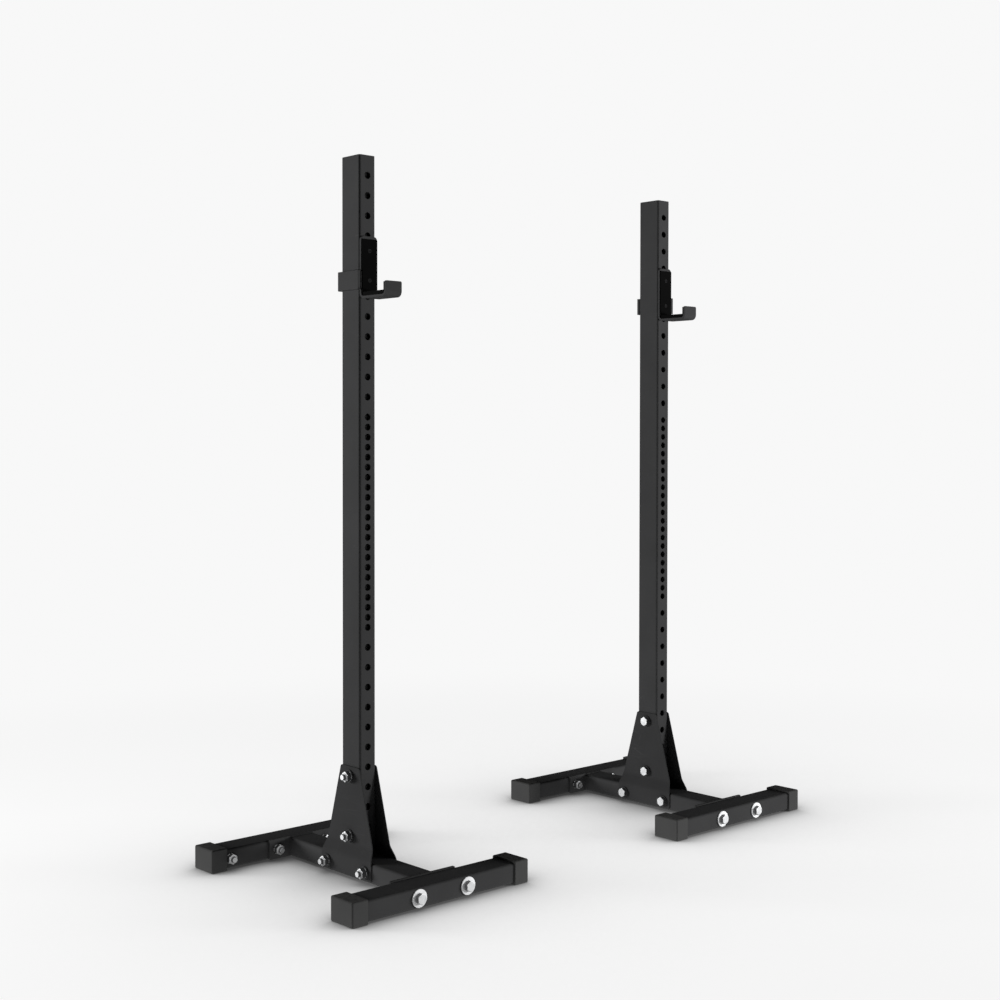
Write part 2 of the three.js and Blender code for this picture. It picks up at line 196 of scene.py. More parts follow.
def newPiece(name, points, faces, edges=()):
    mesh = bpy.data.meshes.new(name)
    mesh.from_pydata([tuple(point) for point in points], list(edges), faces)
    return addObject(name, mesh)


def addFloor(paper, light):
    half = paper["size"] / 2
    floor = newPiece("floor", [(-half, -half, 0), (half, -half, 0), (half, half, 0), (-half, half, 0)],
                     [(0, 1, 2, 3)])
    material = bpy.data.materials.new("floorPaper")
    tree = emptyTree(material)
    place = shading(tree, "TexCoord")["Object"]
    reach = shading(tree, "VectorMath", {0: place}, operation="LENGTH")["Value"]
    far = mapRange(reach, *paper["fadeRange"], interpolation_type="SMOOTHSTEP")
    # Painted shadow: the floor's glow darkens with its ambient occlusion, into a pool under and around the
    # stands
    cover = shading(tree, "AmbientOcclusion", {"Distance": paper["paintedShadowReach"]},
                    samples=paper["paintedShadowSamples"])
    clear = doMath("POWER", cover["AO"], paper["paintedShadowDepth"])
    glowWithPaintedShadow = mixColour(clear, grey(paper["paintedShadowTone"]), grey(paper["near"]))
    glowColour = mixColour(far, glowWithPaintedShadow, grey(light["paper"]))
    glow = shading(tree, "Emission", {"Color": glowColour, "Strength": 1.0})[0]
    share = times(minus(1.0, far), paper["shade"])
    tone = shading(tree, "CombineColor", {0: share, 1: share, 2: share})[0]
    lit = shading(tree, "BsdfDiffuse", {"Color": tone})[0]
    seen = shading(tree, "AddShader", {0: glow, 1: lit})[0]
    bounce = shading(tree, "BsdfDiffuse", {"Color": grey(paper["bounce"])})[0]
    closeBy = mapRange(reach, *paper["liftRange"], (paper["lift"], 0.0), interpolation_type="SMOOTHSTEP")
    lift = shading(tree, "Emission", {"Color": grey(1), "Strength": closeBy})[0]
    given = shading(tree, "AddShader", {0: bounce, 1: lift})[0]
    shading(tree, "OutputMaterial", {0: splitSight(tree, given, seen)})
    floor.data.materials.append(material)


addFloor(floorPaper, studioLight)
print("camera, lights and floor ready")


# A node group: its inputs with their values or kinds, and the outputs that build makes of them
def newGroup(family, name, inputs, build):
    tree = bpy.data.node_groups.new(name, family + "NodeTree")
    for label, value in inputs.items():
        kind = value if isinstance(value, str) else type(value).__name__.capitalize()
        socket = tree.interface.new_socket(label, in_out="INPUT", socket_type="NodeSocket" + kind)
        if value != kind:
            socket.default_value = value
    results = build(tree, tree.nodes.new("NodeGroupInput").outputs)
    kind = "Geometry" if family == "Geometry" else "Float"
    end = tree.nodes.new("NodeGroupOutput").inputs
    for label, socket in results.items():
        tree.interface.new_socket(label, in_out="OUTPUT", socket_type="NodeSocket" + kind)
        tree.links.new(socket, end[label])
    return tree


# The outputs of a group that is used in another tree
def addGroup(tree, group, inputs):
    return addNode(tree, group.bl_idname.replace("Tree", "Group"), inputs, node_tree=group).outputs


def addNoise(vector, settings):
    return shading(vector.id_data, "TexNoise", {"Vector": vector, **settings})[0]


def coordinates(vector):
    return shading(vector.id_data, "SeparateXYZ", {0: vector})


wear = {
    "grain": {"Detail": 2.5, "Roughness": 0.45},
    "cloud": {"Detail": 3.0, "Roughness": 0.55},
    "rubLay": {"Rotation": (0.5, 0.35, 0.8), "Scale": (1.0, 0.08, 1.0)},
    "rubWidth": 0.018,
    "rubPatches": {"Scale": 9.0, "Detail": 2.0},
    "rubRange": (0.56, 0.7),
    "dustAndSheenSlope": (0.55, 1.0),  # how much a face looks up
    "dustAndSheenSpecks": {"Scale": 140.0, "Detail": 4.0, "Roughness": 0.7},
    "dustAndSheenRange": (0.35, 0.75),
    "toolBands": 0.314,  # the wave's scale at which a band is a metre wide
    "toolDetail": {"Detail": 1.0, "Detail Scale": 1.5},
}


# Fine lumps of a sprayed or moulded skin, and its slow change of tone
def buildGrain(tree, given):
    def noise(size, settings):
        scale = doMath("DIVIDE", 1.0, given[size])
        return addNoise(given["Vector"], {"Scale": scale, **wear[settings]})

    return {"Height": noise("Grain Size", "grain"), "Cloud": noise("Cloud Size", "cloud")}


# Short hairline rubs, thick in some places and missing in most
def buildRubs(tree, given):
    stretched = shading(tree, "Mapping", {"Vector": given["Vector"], **wear["rubLay"]})[0]
    cells = shading(tree, "TexVoronoi", {
        "Vector": stretched, "Scale": doMath("DIVIDE", 1.0, given["Spacing"])}, feature="DISTANCE_TO_EDGE")[0]
    line = mapRange(cells, 0.0, wear["rubWidth"], (1.0, 0.0))
    patches = mapRange(addNoise(given["Vector"], wear["rubPatches"]), *wear["rubRange"])
    return {"Mask": times(times(line, patches), given["Amount"])}


# Dust that settles on what faces up; made strong, as on the caps, it is a painted sheen on their tops
def buildDust(tree, given):
    upward = mapRange(coordinates(shading(tree, "NewGeometry")["Normal"])["Z"], *wear["dustAndSheenSlope"])
    cover = mapRange(addNoise(given["Vector"], wear["dustAndSheenSpecks"]), *wear["dustAndSheenRange"])
    return {"Mask": times(times(upward, cover), given["Amount"])}


# Parallel marks of a roller or a cutter
def buildToolMarks(tree, given):
    waves = shading(tree, "TexWave", {
        "Vector": given["Vector"], "Scale": doMath("DIVIDE", wear["toolBands"], given["Pitch"]),
        "Distortion": given["Waver"], **wear["toolDetail"]}, bands_direction="DIAGONAL")
    return {"Height": waves["Fac"]}


grainGroup = newGroup("Shader", "skinGrain", {
    "Vector": "Vector", "Grain Size": 0.0018, "Cloud Size": 0.12}, buildGrain)
rubGroup = newGroup("Shader", "hairlineRubs", {"Vector": "Vector", "Spacing": 0.02, "Amount": 0.2}, buildRubs)
dustAndSheenGroup = newGroup("Shader", "settledDustAndSheen", {"Vector": "Vector", "Amount": 0.1}, buildDust)
toolMarkGroup = newGroup("Shader", "toolMarks", {
    "Vector": "Vector", "Pitch": 0.002, "Waver": 2.0}, buildToolMarks)

# What a finish has unless it says otherwise
plainLook = {
    "grainSize": 0.0012, "grainDepth": 0.00001, "cloudSize": 0.12, "toneRange": (0.3, 0.7),
    "roughRange": (0.25, 0.75), "rubSpacing": 0.02, "rubTone": 0.3, "rubRoughness": 0.1, "dustAndSheen": 0.0,
    "dustAndSheenColour": (0.32, 0.31, 0.30), "toolWaver": 2.0, "toolDepth": 0.5, "metal": 0.0, "gloss": 0.02,
}
steelCoat = {"roughness": (0.58, 0.66), "gloss": 0.001, "rubs": 0.06}
brightZinc = {"metal": 1.0, "gloss": 0.5, "dustAndSheen": 0.02}
# A darker copy of the zinc, for faces that look sideways and for shanks: painted shade
shadedZinc = {
    "grainSize": 0.001, "cloudSize": 0.008, "metal": 0.6, "gloss": 0.3, "rubs": 0.3, "rubSpacing": 0.005,
}
finishes = {
    "powderCoat": {
        **steelCoat, "colour": (0.046, 0.046, 0.0467), "tone": (0.052, 0.052, 0.0528),
        "grainSize": 0.0016, "grainDepth": 0.00004},
    # Painted shade: a darker copy of the powder coat for the gussets
    "gussetShadedCoat": {
        **steelCoat, "colour": (0.037, 0.037, 0.0376), "tone": (0.042, 0.042, 0.0427),
        "grainSize": 0.0013, "grainDepth": 0.00003},
    "zincPlate": {
        **brightZinc, "colour": (0.50, 0.505, 0.51), "tone": (0.42, 0.425, 0.43), "cloudSize": 0.01,
        "roughness": (0.58, 0.66), "rubs": 0.25, "rubSpacing": 0.006, "rubTone": 0.4},
    # Painted shade: the zinc darkened for the flanks of nuts and heads and for the shanks
    "zincShadedSides": {
        **shadedZinc, "colour": (0.115, 0.116, 0.118), "tone": (0.085, 0.086, 0.088),
        "roughness": (0.42, 0.54)},
    # Painted shade, lighter: the flanks of the front cross bolts' heads
    "zincHeadShadedSides": {
        **shadedZinc, "colour": (0.19, 0.192, 0.195), "tone": (0.15, 0.152, 0.155),
        "roughness": (0.46, 0.58)},
    "zincWasherAndLitNuts": {
        **brightZinc, "colour": (0.62, 0.625, 0.63), "tone": (0.52, 0.525, 0.53), "grainSize": 0.0015,
        "cloudSize": 0.012, "roughness": (0.44, 0.54), "toolPitch": 0.0009, "toolDepth": 0.6,
        "rubs": 0.2, "rubSpacing": 0.008, "rubTone": 0.35},
    # Painted shade: the gusset bolts' washers, zinc darkened to about the plate's tone
    "shadedWasher": {
        "colour": (0.038, 0.038, 0.039), "tone": (0.046, 0.046, 0.047), "roughness": (0.48, 0.58),
        "gloss": 0.03, "rubs": 0.15},
    # The caps' strong dust is a painted sheen that makes their tops lighter than their sides
    "capRubber": {
        "colour": (0.059, 0.059, 0.059), "tone": (0.067, 0.067, 0.066), "grainSize": 0.0009,
        "grainDepth": 0.00005, "roughness": (0.76, 0.88), "gloss": 0.002, "rubs": 0.12,
        "rubTone": 0.1, "dustAndSheen": 0.22},
    "plugPlastic": {
        "colour": (0.043, 0.043, 0.044), "tone": (0.05, 0.05, 0.051), "grainSize": 0.0007,
        "grainDepth": 0.00004, "roughness": (0.52, 0.6), "rubs": 0.06, "dustAndSheen": 0.02},
    "linerPlastic": {
        "colour": (0.0024, 0.0024, 0.0024), "tone": (0.0038, 0.0038, 0.0038), "grainDepth": 0.00002,
        "roughness": (0.56, 0.66), "gloss": 0.004, "toolPitch": 0.0016, "toolWaver": 0.6,
        "rubs": 0.15, "rubTone": 0.02},
    "blackOxide": {
        "colour": (0.006, 0.006, 0.0063), "tone": (0.0095, 0.0095, 0.01), "grainSize": 0.0006,
        "roughness": (0.46, 0.56), "rubs": 0.2, "rubSpacing": 0.004},
}


def makeMaterial(name, ownLook):
    look = {**plainLook, **ownLook}
    material = bpy.data.materials.new(name)
    material.use_nodes = True
    tree = material.node_tree
    place = shading(tree, "TexCoord")["Object"]
    grain = addGroup(tree, grainGroup, {
        "Vector": place, "Grain Size": look["grainSize"], "Cloud Size": look["cloudSize"]})
    rub = addGroup(tree, rubGroup, {
        "Vector": place, "Spacing": look["rubSpacing"], "Amount": look["rubs"]})[0]
    dustAndSheen = addGroup(tree, dustAndSheenGroup, {"Vector": place, "Amount": look["dustAndSheen"]})[0]
    cloud = mapRange(grain["Cloud"], *look["toneRange"])
    base = mixColour(cloud, (*look["colour"], 1), (*look["tone"], 1))
    base = mixColour(rub, base, grey(look["rubTone"]))
    base = mixColour(dustAndSheen, base, (*look["dustAndSheenColour"], 1))
    rough = mapRange(grain["Cloud"], *look["roughRange"], look["roughness"])
    rough = plus(rough, times(rub, look["rubRoughness"]))
    height = grain["Height"]
    if "toolPitch" in look:
        marks = addGroup(tree, toolMarkGroup, {
            "Vector": place, "Pitch": look["toolPitch"], "Waver": look["toolWaver"]})[0]
        height = times(marks, look["toolDepth"], height)
    bump = shading(tree, "Bump", {"Height": height, "Strength": 1.0, "Distance": look["grainDepth"]})[0]
    shader = tree.nodes["Principled BSDF"].inputs
    for label, socket in (("Base Color", base), ("Roughness", rough), ("Normal", bump)):
        tree.links.new(socket, shader[label])
    shader["Metallic"].default_value = look["metal"]
    shader["Specular IOR Level"].default_value = look["gloss"]
    return material


materials = {name: makeMaterial(name, look) for name, look in finishes.items()}
print(len(materials), "materials ready")


def addTree(obj, tree, values):
    modifier = obj.modifiers.new(tree.name, "NODES")
    modifier.node_group = tree
    for item in tree.interface.items_tree:
        if item.name in values and item.in_out == "INPUT":
            modifier[item.identifier] = values[item.name]


# Moves a cylinder's points: x and y out to a reach, z to a level
def reshape(rod, place, reach, level):
    tree = rod.id_data
    shaped = shading(tree, "CombineXYZ", {
        "X": times(place["X"], reach), "Y": times(place["Y"], reach), "Z": level})[0]
    return {"Mesh": shape(tree, "SetPosition", {"Geometry": rod, "Position": shaped})}


# A round disc or pin whose two rims step in or flare out: rim grow is added at each end face
def buildDisc(tree, given):
    rod = shape(tree, "MeshCylinder", {
        "Vertices": given["Sides"], "Side Segments": 3, "Radius": 1.0, "Depth": 6.0})
    place = coordinates(shape(tree, "InputPosition"))
    end = doMath("GREATER_THAN", doMath("ABSOLUTE", place["Z"]), 2.0)
    inset = minus(times(given["Height"], 0.5), given["Rim Depth"])
    level = times(times(end, given["Rim Depth"], inset), doMath("SIGN", place["Z"]))
    return reshape(rod, place, times(end, given["Rim Grow"], given["Radius"]), level)


# A hexagon that stands on z = 0, with its top corners turned down to a circle
def buildHex(tree, given):
    rod = shape(tree, "MeshCylinder", {"Vertices": 48, "Side Segments": 2, "Radius": 1.0, "Depth": 2.0})
    place = coordinates(shape(tree, "InputPosition"))
    angle = doMath("ARCTAN2", place["Y"], place["X"])
    side = doMath("FLOORED_MODULO", plus(angle, math.pi / 6), math.pi / 3)
    half = times(given["Across Flats"], 0.5)
    reach = doMath("DIVIDE", half, doMath("COSINE", minus(side, math.pi / 6)))
    crown = times(half, given["Crown Share"])
    isTop = doMath("GREATER_THAN", place["Z"], 0.5)
    isLow = doMath("LESS_THAN", place["Z"], -0.5)
    radius = times(isTop, minus(crown, reach), reach)
    drop = times(minus(radius, crown), given["Crown Slope"])
    return reshape(rod, place, radius, times(minus(given["Height"], drop), minus(1.0, isLow)))


edgedDisc = newGroup("Geometry", "edgedDisc", {
    "Radius": 0.01, "Height": 0.003, "Rim Grow": -0.0004, "Rim Depth": 0.0004, "Sides": 40}, buildDisc)
hexBody = newGroup("Geometry", "hexBody", {
    "Across Flats": 0.0238, "Height": 0.01, "Crown Share": 0.95, "Crown Slope": 0.5}, buildHex)


def addDisc(tree, radius, height, rimGrow, rimDepth, sides=40):
    return addGroup(tree, edgedDisc, {
        "Radius": radius, "Height": height, "Rim Grow": rimGrow, "Rim Depth": rimDepth, "Sides": sides})[0]


def addHex(tree, acrossFlats, height, crownShare=0.95):
    return addGroup(tree, hexBody, {
        "Across Flats": acrossFlats, "Height": height, "Crown Share": crownShare})[0]


def moveUp(mesh, level):
    tree = mesh.id_data
    return shape(tree, "Transform", {
        "Geometry": mesh, "Translation": shading(tree, "CombineXYZ", {"Z": level})[0]})


def paint(mesh, material, where=True):
    return shape(mesh.id_data, "SetMaterial", {"Geometry": mesh, "Selection": where, "Material": material})


def joinMeshes(*meshes):
    node = addNode(meshes[0].id_data, "GeometryNodeJoinGeometry")
    for mesh in meshes:
        node.id_data.links.new(mesh, node.inputs[0])
    return node.outputs[0]


# Puts a mesh at every point, with its top the way that "looks" says and turned about that way
def placeAtPoints(points, mesh, spin=0.0):
    tree = mesh.id_data
    looks = shape(tree, "InputNamedAttribute", {"Name": "looks"}, data_type="FLOAT_VECTOR")
    aim = addNode(tree, "FunctionNodeAlignRotationToVector", {"Vector": looks}, axis="Z").outputs[0]
    about = addNode(tree, "FunctionNodeAxisAngleToRotation", {"Axis": (0, 0, 1), "Angle": spin}).outputs[0]
    turn = addNode(tree, "FunctionNodeRotateRotation", {"Rotation": aim, "Rotate By": about},
                   rotation_space="LOCAL").outputs[0]
    placed = shape(tree, "InstanceOnPoints", {"Points": points, "Instance": mesh, "Rotation": turn})
    return shape(tree, "RealizeInstances", {0: placed})


drillForm = {"diameter": 0.0175, "chamfer": 0.0006, "overrun": 0.001, "sides": 32}


# A row of holes with a small chamfer at the outer faces, cut through a piece
def buildDrills(tree, given):
    flare = plus(given["Chamfer"], given["Overrun"])
    length = times(given["Overrun"], 2.0, given["Through"])
    rod = addDisc(tree, times(given["Diameter"], 0.5), length, flare, flare, drillForm["sides"])
    row = shape(tree, "MeshLine", {
        "Count": given["Count"], "Start Location": given["First Hole"], "Offset": given["Step"]})
    turn = addNode(tree, "FunctionNodeEulerToRotation", {0: given["Turn"]}).outputs[0]
    rods = shape(tree, "InstanceOnPoints", {"Points": row, "Instance": rod, "Rotation": turn})
    rods = shape(tree, "RealizeInstances", {0: rods})
    bored = shape(tree, "MeshBoolean", {
        "Mesh 1": given["Geometry"], "Mesh 2": rods}, operation="DIFFERENCE", solver="MANIFOLD")
    return {"Geometry": paint(bored, given["Material"])}


drilledRow = newGroup("Geometry", "drilledRow", {
    "Geometry": "Geometry", "First Hole": "Vector", "Step": "Vector", "Count": 1, "Turn": "Vector",
    "Diameter": drillForm["diameter"], "Through": 0.0762, "Chamfer": drillForm["chamfer"],
    "Overrun": drillForm["overrun"], "Material": "Material"}, buildDrills)

boltForm = {
    "Shank Diameter": 0.0159, "Across Flats": 0.0238, "Head Height": 0.0100, "Nut Height": 0.0135,
    "Collar Height": 0.0015, "Collar Diameter": 0.0220, "Thread Proud": 0.0065, "Thread Pitch": 0.0015,
    "Nut Foot": 0.0258, "Nut Foot Height": 0.0008,
}
boltTrim = {
    "nutCrown": 0.93,  # share of the flats
    "footChamfer": 0.0003,
    "collarSink": 0.002,  # how far the collar reaches into the nut
    "chamfer": 0.0010,  # of the collar and the core
    "core": 0.92,  # share of the shank
    "endFace": 0.86, "endHeight": 0.0010, "endChamfer": 0.0003, "endProud": 0.0002,
    "ridge": (0.9, 0.35),  # height and slope of a thread's turn, shares of the pitch
    "ridgeDepth": 0.0006, "turns": 4, "turnStart": 0.0002,
    "washerRim": (0.3, 0.0005),  # share of the thickness, and the most
    "thinnest": 0.0004,
    "sideSlope": 0.3,  # a face that leans less than this is a side, painted in the shaded zinc
}


# Bolts done up through plates: a point for each, with the way its head looks
def buildBolts(tree, given):
    trim = boltTrim
    radius, pitch = times(given["Shank Diameter"], 0.5), given["Thread Pitch"]
    headThick, nutThick = given["Head Thickness"], given["Nut Thickness"]
    nutFoot = plus(given["Grip"], nutThick)
    nutTop = plus(nutFoot, given["Nut Height"])
    collarTop = plus(nutTop, given["Collar Height"])
    tip = plus(collarTop, given["Thread Proud"])
    head = moveUp(addHex(tree, given["Across Flats"], given["Head Height"]), headThick)
    nut = addHex(tree, given["Across Flats"], given["Nut Height"], trim["nutCrown"])
    nut = shape(tree, "Transform", {"Geometry": nut, "Rotation": (math.pi, 0, 0)})
    nut = moveUp(nut, minus(given["Nut Height"], nutTop))

    def disc(size, height, chamfer, middle):
        return moveUp(addDisc(tree, size, height, -chamfer, chamfer), middle)

    foot = disc(times(given["Nut Foot"], 0.5), given["Nut Foot Height"], trim["footChamfer"],
                times(times(given["Nut Foot Height"], 0.5, nutFoot), -1.0))
    collarHeight = plus(given["Collar Height"], trim["collarSink"])
    collar = disc(times(given["Collar Diameter"], 0.5), collarHeight, trim["chamfer"],
                  minus(times(collarHeight, 0.5), collarTop))
    endFace = disc(times(radius, trim["endFace"]), trim["endHeight"], trim["endChamfer"],
                   minus(trim["endProud"], tip))
    coreLength = plus(tip, headThick)
    core = disc(times(radius, trim["core"]), coreLength, trim["chamfer"],
                minus(headThick, times(coreLength, 0.5)))
    ridgeHeight, ridgeSlope = [times(pitch, share) for share in trim["ridge"]]
    ridge = addDisc(tree, radius, ridgeHeight, -trim["ridgeDepth"], ridgeSlope)
    start, step = [shading(tree, "CombineXYZ", {"Z": level})[0]
                   for level in (minus(-trim["turnStart"], collarTop), times(pitch, -1.0))]
    turns = shape(tree, "MeshLine", {"Count": trim["turns"], "Start Location": start, "Offset": step})
    thread = shape(tree, "InstanceOnPoints", {"Points": turns, "Instance": ridge})

    def washer(diameter, thickness, level):
        rimShare, rimMost = trim["washerRim"]
        rimDepth = doMath("MINIMUM", times(thickness, rimShare), rimMost)
        height = doMath("MAXIMUM", thickness, trim["thinnest"])
        return moveUp(addDisc(tree, times(diameter, 0.5), height, -rimMost, rimDepth), level)

    headWasher = washer(given["Head Washer"], headThick, times(headThick, 0.5))
    nutWasher = washer(given["Nut Washer"], nutThick, times(nutThick, -0.5, times(given["Grip"], -1.0)))
    # Faces that look sideways take the darker copy of the zinc: painted shade on the flanks
    facing = coordinates(shape(tree, "InputNormal"))
    isShadedSide = doMath("LESS_THAN", doMath("ABSOLUTE", facing["Z"]), trim["sideSlope"])
    steel = paint(joinMeshes(head, nut, collar, endFace), given["Steel"])
    steel = paint(steel, given["Shaded Side Steel"], isShadedSide)
    # The core and its thread take the painted-shade zinc all over; a thin disc at the tip carries the bright
    # zinc of the bolt's end
    sides = paint(joinMeshes(core, thread), given["Shaded Side Steel"])
    washers = [paint(ring, given["Washer Steel"]) for ring in (headWasher, nutWasher)]
    # The nut's foot keeps the bright zinc on its rim as well: a painted highlight ring at the nut's base
    whole = joinMeshes(steel, sides, paint(foot, given["Steel"]), *washers)
    return {"Geometry": placeAtPoints(given["Geometry"], whole, given["Turn"])}


boltSets = newGroup("Geometry", "boltSets", {
    "Geometry": "Geometry", **boltForm, "Grip": 0.06, "Head Washer": 0.0333, "Head Thickness": 0.003,
    "Nut Washer": 0.0333, "Nut Thickness": 0.003, "Turn": 0.0, "Steel": "Material",
    "Shaded Side Steel": "Material", "Washer Steel": "Material"}, buildBolts)

beadForm = {"radius": 0.0022, "pitch": 0.0026, "ripple": 0.12, "steps": 5.0, "sides": 10}


# A weld bead laid along edges, with the ripples of its passes
def buildBead(tree, given):
    pitch = given["Ripple Pitch"]
    line = shape(tree, "MeshToCurve", {0: given["Geometry"]})
    fine = shape(tree, "ResampleCurve", {
        "Curve": line, "Length": doMath("DIVIDE", pitch, beadForm["steps"])}, mode="LENGTH")
    along = addNode(tree, "GeometryNodeSplineParameter").outputs["Length"]
    wave = doMath("SINE", times(doMath("DIVIDE", along, pitch), 2 * math.pi))
    size = times(plus(times(wave, given["Ripple Share"]), 1.0), given["Bead Radius"])
    ring = shape(tree, "CurvePrimitiveCircle", {"Resolution": beadForm["sides"], "Radius": 1.0})
    bead = shape(tree, "CurveToMesh", {
        "Curve": fine, "Profile Curve": ring, "Scale": size, "Fill Caps": True})
    return {"Geometry": paint(shape(tree, "RealizeInstances", {0: bead}), given["Material"])}


weldBead = newGroup("Geometry", "weldBead", {
    "Geometry": "Geometry", "Bead Radius": beadForm["radius"], "Ripple Pitch": beadForm["pitch"],
    "Ripple Share": beadForm["ripple"], "Material": "Material"}, buildBead)
print("geometry trees ready")


# Loose points, each with the way that the mesh on it looks
def pointPiece(name, seats, looks):
    piece = newPiece(name, seats, [])
    layer = piece.data.attributes.new("looks", "FLOAT_VECTOR", "POINT")
    for index, direction in enumerate(looks):
        layer.data[index].vector = direction
    return piece


# Replaces the mesh by what its modifiers give
def settle(obj):
    bpy.context.view_layer.update()
    graph = bpy.context.evaluated_depsgraph_get()
    mesh = bpy.data.meshes.new_from_object(
        obj.evaluated_get(graph), preserve_all_data_layers=True, depsgraph=graph)
    mesh.name = obj.name
    obj.modifiers.clear()
    obj.data = mesh


# Rounds the edges, smooths what is round and hands the piece to its body
def finish(obj, body, nodes, material="powderCoat", bevel=None, smoothAngle=32,
           weighted=True):
    if material is not None:
        obj.data.materials.append(materials[material])
    if bevel is not None:
        rounding = obj.modifiers.new("softEdges", "BEVEL")
        rounding.width, rounding.segments, leastAngle = bevel
        rounding.limit_method = "ANGLE"
        rounding.angle_limit = math.radians(leastAngle)
    settle(obj)
    obj.data.shade_smooth()
    obj.data.set_sharp_from_angle(angle=math.radians(smoothAngle))
    if weighted:
        obj.modifiers.new("flatFaces", "WEIGHTED_NORMAL").keep_sharp = True
        settle(obj)
    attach(obj, body)
    if nodes:
        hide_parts(*nodes)


# Changes a piece's mesh through a function that works on it
def rework(obj, change):
    work = bmesh.new()
    work.from_mesh(obj.data)
    change(work)
    work.to_mesh(obj.data)
    work.free()


def cleanUp(work):
    bmesh.ops.remove_doubles(work, verts=work.verts, dist=1e-6)
    bmesh.ops.recalc_face_normals(work, faces=work.faces)


# A closed outline whose corners (u, v, radius) are rounded
def filleted(corners, steps=6):
    outline = []
    for index, (u, v, radius) in enumerate(corners):
        here = Vector((u, v))
        if radius <= 0:
            outline.append(here)
            continue
        back = (Vector(corners[index - 1][:2]) - here).normalized()
        ahead = (Vector(corners[(index + 1) % len(corners)][:2]) - here).normalized()
        half = back.angle(ahead) / 2
        centre = here + (back + ahead).normalized() * radius / math.sin(half)
        start = here + back * radius / math.tan(half) - centre
        end = here + ahead * radius / math.tan(half) - centre
        first = math.atan2(start.y, start.x)
        sweep = (math.atan2(end.y, end.x) - first + math.pi) % (2 * math.pi) - math.pi
        for step in range(steps + 1):
            angle = first + sweep * step / steps
            outline.append(centre + radius * Vector((math.cos(angle), math.sin(angle))))
    return outline


# The rounded outline of a box as an axis sees it, set in from its sides
def boxOutline(axis, box, corner, inset=0.0):
    low, high = box
    lanes = [lane for lane in range(3) if lane != "xyz".index(axis)]
    middle = [(low[lane] + high[lane]) / 2 for lane in lanes]
    half = [(high[lane] - low[lane] - 2 * inset) / 2 for lane in lanes]
    return filleted([(middle[0] + a * half[0], middle[1] + b * half[1], corner)
                     for a, b in ((1, -1), (1, 1), (-1, 1), (-1, -1))])


# Puts an outline on the plane that an axis crosses: (Y, Z) for x, (X, Z) for y, (X, Y) for z
def ringAt(axis, level, outline):
    return [Vector({"x": (level, u, v), "y": (u, level, v), "z": (u, v, level)}[axis]) for u, v in outline]


# Skins equal outlines in a row, and closes both ends or joins the last to the first
def loft(name, rings, endless=False):
    count = len(rings[0])
    points = [point for ring in rings for point in ring]
    faces = []
    for index in range(len(rings) if endless else len(rings) - 1):
        near, far = index * count, (index + 1) % len(rings) * count
        for corner in range(count):
            following = (corner + 1) % count
            faces.append((near + corner, near + following, far + following, far + corner))
    if not endless:
        faces.append(tuple(reversed(range(count))))
        faces.append(tuple(range(len(points) - count, len(points))))
    piece = newPiece(name, points, faces)
    rework(piece, cleanUp)
    return piece


def prism(name, axis, outline, start, end):
    return loft(name, [ringAt(axis, level, outline) for level in (start, end)])


# Pairs of inset and depth along a quarter round, from the end face to the side
def quarterRound(radius, steps=4):
    angles = [math.pi / 2 * step / steps for step in range(steps + 1)]
    return [(radius * (1 - math.cos(angle)), radius * (1 - math.sin(angle))) for angle in angles]


def middleOf(node):
    low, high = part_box(node)
    return (low + high) / 2


boxTube = {"corner": 0.0064, "wall": 0.00305}


def tubePiece(name, axis, box):
    start, end = [corner["xyz".index(axis)] for corner in box]
    outside = boxOutline(axis, box, boxTube["corner"])
    inside = boxOutline(axis, box, boxTube["corner"] - boxTube["wall"], boxTube["wall"])
    walls = ((outside, start), (outside, end), (inside, end), (inside, start))
    return loft(name, [ringAt(axis, level, outline) for outline, level in walls], endless=True)


forwards = (math.pi / 2, 0, 0)
sideways = (0, math.pi / 2, 0)
upright = (0, 0, 0)


def drill(obj, first, turn, through, step=(0, 0, 0), count=1, diameter=drillForm["diameter"],
          chamfer=drillForm["chamfer"], material="powderCoat"):
    addTree(obj, drilledRow, {
        "First Hole": first, "Step": step, "Count": count, "Turn": turn, "Through": through,
        "Diameter": diameter, "Chamfer": chamfer, "Material": materials[material]})


stands = {"left": -1, "right": 1}
bodyName = "stands"

holes = {
    "chamfer": 0.0007,
    "firstDepth": 0.0508,  # below the top of the lid
    "rows": [(0, 0.0508, 12), (12 * 0.0508, 0.0254, 21), (12 * 0.0508 + 21 * 0.0254, 0.0508, 12)],
    "boltLevels": (0.0508, 0.2032),  # above the base tube
}


def makeUpright(label):
    node = f"{label}_upright"
    low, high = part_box(node)
    x, y, _ = middleOf(node)
    piece = tubePiece(f"{label}UprightTube", "z", (low, high))
    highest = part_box(f"{label}_upright_top_plug")[1].z - holes["firstDepth"]
    for below, pitch, count in holes["rows"]:
        drill(piece, (x, y, highest - below), forwards, high.y - low.y, (0, 0, -pitch), count,
              chamfer=holes["chamfer"])
    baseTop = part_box(f"{label}_centre_tube")[1].z
    lower, upper = [baseTop + level for level in holes["boltLevels"]]
    drill(piece, (x, y, lower), sideways, high.x - low.x, (0, 0, upper - lower), 2)
    finish(piece, bodyName, [node])


for label in stands:
    makeUpright(label)
print("uprights drilled")

topPlug = {
    "lid": 0.003, "crown": 0.0012, "underChamfer": 0.0003, "corner": 0.0064, "stemInset": 0.0034,
    "tipInset": 0.001, "tipHeight": 0.003,
}


